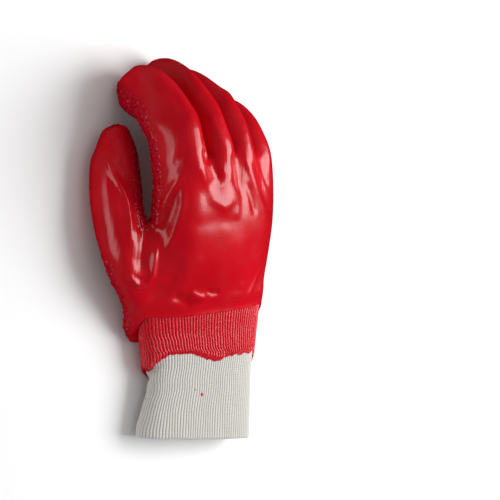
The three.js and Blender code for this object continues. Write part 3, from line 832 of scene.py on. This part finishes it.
# %% Coated band
BAND_ROWS = 90
BAND_RIB = 0.8 * MM
BAND_OVERLAP = 6.0 * MM  # how far it runs on under the rim
share = np.linspace(0, 1, BAND_ROWS)[:, None]
rim_here = rim_at(np.stack([ring_at_dip[:, 0], np.zeros(columns), ring_at_dip[:, 1]], 1))
y = dip_line + (rim_here + BAND_OVERLAP - dip_line) * share
xz = at_rows(band_wall, band_stations, y)
under = at_rows(knit_wall, knit_stations, y)
way = outwards(xz)
thick = smooth_between(y - dip_line, -0.2 * MM, 3 * MM)[..., None]
base = under + way * 0.25 * MM
surface = base * (1 - thick) + (xz - way * 0.35 * MM) * thick
band_groove = 1 - rib(phase + wobble(phase, y), 0.2)
surface = surface + way * (BAND_RIB * (0.35 - band_groove))[..., None]
band_points = np.stack([surface[..., 0], y, surface[..., 1]], -1).reshape(-1, 3)
keep_above(band_points, 0.15 * MM)
band = build("coated_band_ribbed", band_points, grid_faces(BAND_ROWS, columns))
print("band:", len(band.data.polygons), "faces")

# %% [markdown]
# The knitted wrist
#
# The cuff is knitted in ribs, so that it stretches over the hand and grips the wrist. It is a grid
# like the band, with softer ribs, from the hem to a few millimetres under the coat. The inside is a
# grid of its own, with ribs where the outside has grooves. The hem turns from one wall to the
# other in a half round, as a folded edge of knit does.

# %% Outside of the cuff
KNIT_ROWS = 120
KNIT_RIB = 0.5 * MM
KNIT_OVERLAP = 4 * MM  # how far it runs on under the band's coat
HEM_Y = -117.6 * MM
share = np.linspace(0, 1, KNIT_ROWS)[:, None]
y = HEM_Y + (dip_line + KNIT_OVERLAP - HEM_Y) * share
xz = at_rows(knit_wall, knit_stations, y)
groove = 1 - rib(phase + wobble(phase, y), 0.17)
surface = xz + outwards(xz) * (KNIT_RIB * (0.25 - groove))[..., None]
outer = np.stack([surface[..., 0], y, surface[..., 1]], -1).reshape(-1, 3)
print("outside of the cuff:", len(outer), "points")

# %% Inside of the cuff
INSIDE_ROWS = 40
INSIDE_RIB = 0.4 * MM
INSIDE_END = -58 * MM
inside_y = np.linspace(HEM_Y, INSIDE_END, INSIDE_ROWS)[:, None] + np.zeros(inside_columns)
inside_xz = at_rows(knit_inside, knit_stations, inside_y)
inside_ribs = INSIDE_RIB * (rib(np.arange(inside_columns) / INSIDE_PER_RIB + 0.5, 0.25) - 0.5)
inside_xz = inside_xz - outwards(inside_xz) * inside_ribs[..., None]
inside = np.stack([inside_xz[..., 0], inside_y, inside_xz[..., 1]], -1).reshape(-1, 3)
print("inside of the cuff:", len(inside), "points")

# %% Round the hem over
HEM_RINGS = 6
HEM_DEPTH = 1.3 * MM
closed_ring = np.concatenate([inside_xz[0], inside_xz[0][:1]])
inner_turn = np.arange(columns) * INSIDE_PER_RIB / PER_RIB
inner_edge = [np.interp(inner_turn, np.arange(inside_columns + 1), closed_ring[:, i]) for i in range(2)]
hem_rings = []
for k in range(1, HEM_RINGS + 1):
    turn = math.pi * k / HEM_RINGS
    mix = (1 - math.cos(turn)) / 2
    ring = surface[0] * (1 - mix) + np.stack(inner_edge, 1) * mix
    low = np.full(columns, HEM_Y - HEM_DEPTH * math.sin(turn))
    hem_rings.append(np.stack([ring[:, 0], low, ring[:, 1]], 1))
knit_points = np.concatenate([*hem_rings[::-1], outer])
keep_above(knit_points, FLOOR_GAP)
print("hem:", HEM_RINGS, "rings")

# %% Bring the cuff to where the picture shows it
CUFF_SHIFTS = [  # the cuff's edge steps in under the coat, and flares at the hem
    ((141, 372), (0, 0)), ((144, 386), (6, 0)), ((147, 408), (2, 0)), ((139, 437), (-2, -3.5)),
    ((175, 385), (0, 0)), ((175, 410), (0, 0)), ((170, 438), (0, -1.5)), ((200, 410), (0, 0)),
    ((200, 437), (0, 1)), ((225, 436), (0, 2.5)), ((248, 434), (1, 4)), ((248, 405), (0.5, 0)),
]
knit_points, inside = shifted(knit_points, CUFF_SHIFTS), shifted(inside, CUFF_SHIFTS)
keep_above(knit_points, FLOOR_GAP)
keep_above(inside, 0.6 * MM)
knit = build("knit_wrist_ribbed", knit_points, grid_faces(KNIT_ROWS + HEM_RINGS, columns))
lining = build("knit_wrist_inside", inside, grid_faces(INSIDE_ROWS, inside_columns, flip=True))
print("knit:", len(knit.data.polygons), "faces, inside:", len(lining.data.polygons), "faces")


# %% Mark the grooves
def mark(piece, name, values):
    """Stores one number for each point, for a material to read."""
    stored = piece.data.attributes.new(name, "FLOAT", "POINT")
    stored.data.foreach_set("value", values.reshape(-1))


mark(band, "groove", band_groove)
mark(knit, "groove", np.concatenate([np.repeat(groove[:1], HEM_RINGS, axis=0), groove]))
print("deepest grooves:", round(band_groove.max(), 2), "on the band,", round(groove.max(), 2), "on the cuff")
for piece, slot, node in (
    (band, "coating", "coated_band"), (knit, "knit", "knit_wrist"), (lining, "knit", None)
):
    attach(piece, "root")
    if node:
        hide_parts(node)

# %% [markdown]
# Materials
#
# Each material is a small tree of nodes. A helper makes a node, sets its inputs and links the
# ones that are given as sockets, which keeps each recipe to a few lines.

# %% Material helpers
class Recipe:
    """A material under construction, with its Principled shader."""

    def __init__(self, name):
        self.material = bpy.data.materials.new(name)
        self.material.use_nodes = True
        self.tree = self.material.node_tree
        self.shader = self.tree.nodes["Principled BSDF"]
        self.place = self.node("ShaderNodeTexCoord").outputs["Object"]

    def node(self, kind, settings=None, **inputs):
        made = self.tree.nodes.new(kind)
        for key, value in (settings or {}).items():
            setattr(made, key, value)
        for key, value in inputs.items():
            self.feed(made, key.replace("_", " "), value)
        return made

    def feed(self, node, key, value):
        socket = node.inputs[int(key)] if key.isdigit() else node.inputs[key]
        if isinstance(value, bpy.types.NodeSocket):
            self.tree.links.new(value, socket)
        else:
            socket.default_value = value

    def set(self, **inputs):
        for key, value in inputs.items():
            self.feed(self.shader, key.replace("_", " "), value)

    def noise(self, scale, detail):
        made = self.node("ShaderNodeTexNoise", Vector=self.place, Scale=scale, Detail=detail)
        return made.outputs["Fac"]

    def stored(self, name):
        """The numbers that a mesh keeps for its points under a name."""
        return self.node("ShaderNodeAttribute", {"attribute_name": name}).outputs["Fac"]

    def ramp(self, value, low, low_color, high, high_color):
        """One colour up to low, another from high on, and a mix between."""
        made = self.node("ShaderNodeValToRGB", Fac=value)
        for element, at, color in zip(made.color_ramp.elements, (low, high), (low_color, high_color)):
            element.position = at
            element.color = (*color, 1)
        return made.outputs["Color"]

    def map(self, value, low, high, to_low, to_high):
        """Low to high, stretched to other numbers and held inside them."""
        made = self.node("ShaderNodeMapRange", {"clamp": True}, Value=value)
        for key, number in (("From Min", low), ("From Max", high), ("To Min", to_low), ("To Max", to_high)):
            made.inputs[key].default_value = number
        return made.outputs["Result"]

    def bump(self, height, distance, strength=1.0, under=None):
        made = self.node("ShaderNodeBump", Height=height, Distance=distance, Strength=strength)
        if under is not None:
            self.feed(made, "Normal", under)
        return made.outputs["Normal"]


# %% [markdown]
# The glossy coat
#
# Smooth PVC is coloured all through and mirrors softly. Its red and its gloss change a little from
# place to place, and the knit of the liner shows through as a very shallow bump.

# %% Glossy coat
DEEP_RED, CLEAR_RED = (0.43, 0.0008, 0.006), (0.56, 0.0016, 0.011)
coating = Recipe("glossy_coating")
coating.set(Base_Color=coating.ramp(coating.noise(22, 3), 0.3, DEEP_RED, 0.7, CLEAR_RED))
coating.set(Roughness=coating.map(coating.noise(60, 4), 0.35, 0.7, 0.19, 0.29))
knit_lines = coating.node(
    "ShaderNodeTexWave", {"bands_direction": "X"}, Vector=coating.place, Scale=150, Distortion=1.5, Detail=2
)
under = coating.bump(knit_lines.outputs["Fac"], 0.00012, 0.22)
skin = coating.bump(coating.noise(700, 2), 0.0002, 0.18, under=under)
coating.set(IOR=1.5, Specular_IOR_Level=0.42, Normal=skin)
print("glossy coat:", len(coating.tree.nodes), "nodes")

# %% [markdown]
# The fused crumb
#
# The grains are the same PVC, with small facets that glint. The mesh has the relief of the grains,
# so the bump only adds the grit on each of them.

# %% Fused crumb
CRUMB_LOW, CRUMB_HIGH = (0.30, 0.0012, 0.007), (0.52, 0.005, 0.018)
crumb = Recipe("fused_crumb")
crumb.set(Base_Color=crumb.ramp(crumb.noise(420, 3), 0.3, CRUMB_LOW, 0.7, CRUMB_HIGH))
crumb.set(Roughness=crumb.map(crumb.noise(900, 2), 0.35, 0.7, 0.1, 0.26), IOR=1.5)
cells = crumb.node("ShaderNodeTexVoronoi", {"feature": "SMOOTH_F1"}, Vector=crumb.place, Scale=900)
crumb.set(Normal=crumb.bump(cells.outputs["Distance"], 0.0006, 0.6))
print("fused crumb:", len(crumb.tree.nodes), "nodes")

# %% [markdown]
# The coated ribs
#
# The tops of the ribs are painted a lighter red, as painted light, and the grooves a darker one, as
# painted shade. The groove value of each point says which of the two it is.

# %% Coated ribs
# painted light on the tops of the ribs and painted shade in the grooves, chosen by the groove value
RIB_TOP_PAINTED_LIGHT, RIB_GROOVE_PAINTED_SHADE = (0.70, 0.005, 0.02), (0.42, 0.0015, 0.008)
ribs = Recipe("coated_ribs")
ribs.set(Base_Color=ribs.ramp(ribs.stored("groove"), 0.1, RIB_TOP_PAINTED_LIGHT, 0.8, RIB_GROOVE_PAINTED_SHADE))
ribs.set(Roughness=ribs.map(ribs.noise(900, 3), 0.35, 0.7, 0.2, 0.42), IOR=1.5)
ribs.set(Normal=ribs.bump(ribs.noise(1300, 3), 0.0005, 0.5))
print("coated ribs:", len(ribs.tree.nodes), "nodes")

# %% [markdown]
# The knit
#
# The cuff is undyed cotton, with fuzz and faint rows of stitches. Its grooves are painted a little
# darker and warmer, as painted shade. A few drops of the coat fell on it at the bath. Each is a small
# round spot on the knit at the place that the picture shows.

# %% Knit, with red specks of the coat on it
# the yarn's own colour on the rib tops, and painted shade in the grooves
KNIT_TOP, KNIT_GROOVE_PAINTED_SHADE = (0.62, 0.605, 0.585), (0.45, 0.41, 0.35)
DROP_RED = (0.55, 0.02, 0.04, 1)
DROPS = ((201.5, 394.4, 1.15), (195.3, 389.5, 0.5), (145.3, 398.4, 0.4))  # pixels, and size in mm
cloth = Recipe("rib_knit")
yarn_and_groove_shade = cloth.ramp(cloth.stored("groove"), 0.1, KNIT_TOP, 0.8, KNIT_GROOVE_PAINTED_SHADE)
knit_tree = BVHTree.FromObject(knit, bpy.context.evaluated_depsgraph_get())


def place_shown_at(x, y):
    """The place on the knit that the picture shows at a pixel."""
    scale = DISTANCE / (camera.data.lens / camera.data.sensor_width * PIXELS)
    way = right * ((x - PIXELS / 2) * scale) - up * ((y - PIXELS / 2) * scale) - toward * DISTANCE
    return knit_tree.ray_cast(camera.location, way.normalized())[0]


for x, y, wide in DROPS:
    spot = place_shown_at(x, y)
    away = cloth.node("ShaderNodeVectorMath", {"operation": "DISTANCE"})
    cloth.feed(away, "0", cloth.place)
    cloth.feed(away, "1", spot)
    on_spot = cloth.map(away.outputs["Value"], wide * 0.8 * MM, wide * 1.15 * MM, 1, 0)
    mix = cloth.node("ShaderNodeMix", {"data_type": "RGBA"}, Factor=on_spot, A=yarn_and_groove_shade, B=DROP_RED)
    yarn_and_groove_shade = mix.outputs["Result"]
    print("speck at", [round(v, 4) for v in spot])
cloth.set(Base_Color=yarn_and_groove_shade, Roughness=0.95)
fuzz = cloth.bump(cloth.noise(2400, 3), 0.0004, 0.6)
courses = cloth.node(
    "ShaderNodeTexWave", {"bands_direction": "Y"}, Vector=cloth.place, Scale=260, Distortion=2.5, Detail=1
)
cloth.set(Normal=cloth.bump(courses.outputs["Fac"], 0.0003, 0.5, under=fuzz))

# %% Put the materials on
for recipe, pieces in (
    (coating, [coat]),
    (crumb, [palm_crumb, finger_crumb]),
    (ribs, [band]),
    (cloth, [knit, lining, liner]),
):
    for piece in pieces:
        piece.data.materials.append(recipe.material)
print("materials:", len(bpy.data.materials))

# %% [markdown]
# The floor
#
# A sheet of pale paper stands for the white ground of the photograph and takes a soft shadow. The
# coat doesn't mirror it, because a pale floor would wash the red out.

# %% Floor
PAPER_LOW, PAPER_HIGH = (0.86, 0.86, 0.86), (0.88, 0.88, 0.88)
floor = build("floor", [(-3, -3, 0), (3, -3, 0), (3, 3, 0), (-3, 3, 0)], [(0, 1, 2, 3)], smooth=False)
paper = Recipe("paper")
paper.set(Base_Color=paper.ramp(paper.noise(3, 2), 0.3, PAPER_LOW, 0.7, PAPER_HIGH), Roughness=0.9)
floor.data.materials.append(paper.material)
floor.visible_glossy = False
print("floor:", floor.name)

# %% [markdown]
# Light
#
# Two softboxes make the highlights: a large one high up on the little finger's side, and a low one
# beyond the thumb. A fill from above and a dim sky lift the shadows. The coat mirrors neither of
# these two, so its red stays deep between the highlights.


# %% Lamps
def lamp(name, place, aim, size, power):
    """A softbox at a place, turned towards another place."""
    light = bpy.data.lights.new(name, "AREA")
    light.shape = "RECTANGLE"
    light.size, light.size_y = size
    light.energy = power
    obj = bpy.data.objects.new(name, light)
    bpy.context.collection.objects.link(obj)
    obj.location = place
    obj.rotation_euler = (Vector(aim) - Vector(place)).to_track_quat("-Z", "Y").to_euler()
    return obj


lamp("key", (0.76, 0.05, 0.84), (0.02, 0.03, 0.04), (0.8, 0.95), 17)
lamp("side", (-1.0, -0.15, 0.06), (-0.03, 0.02, 0.03), (0.7, 0.55), 3.6)
fill = lamp("fill", (0.1, 0.5, 1.3), (0, 0, 0), (1.2, 1.2), 3)
fill.visible_glossy = False
world = bpy.data.worlds.new("studio")
bpy.context.scene.world = world
world.use_nodes = True
sky = world.node_tree.nodes["Background"]
sky.inputs["Color"].default_value = (1, 1, 1, 1)
sky.inputs["Strength"].default_value = 0.32
world.cycles_visibility.glossy = False
bpy.context.scene.view_settings.view_transform = "Standard"
print("lamps:", len(bpy.data.lights))
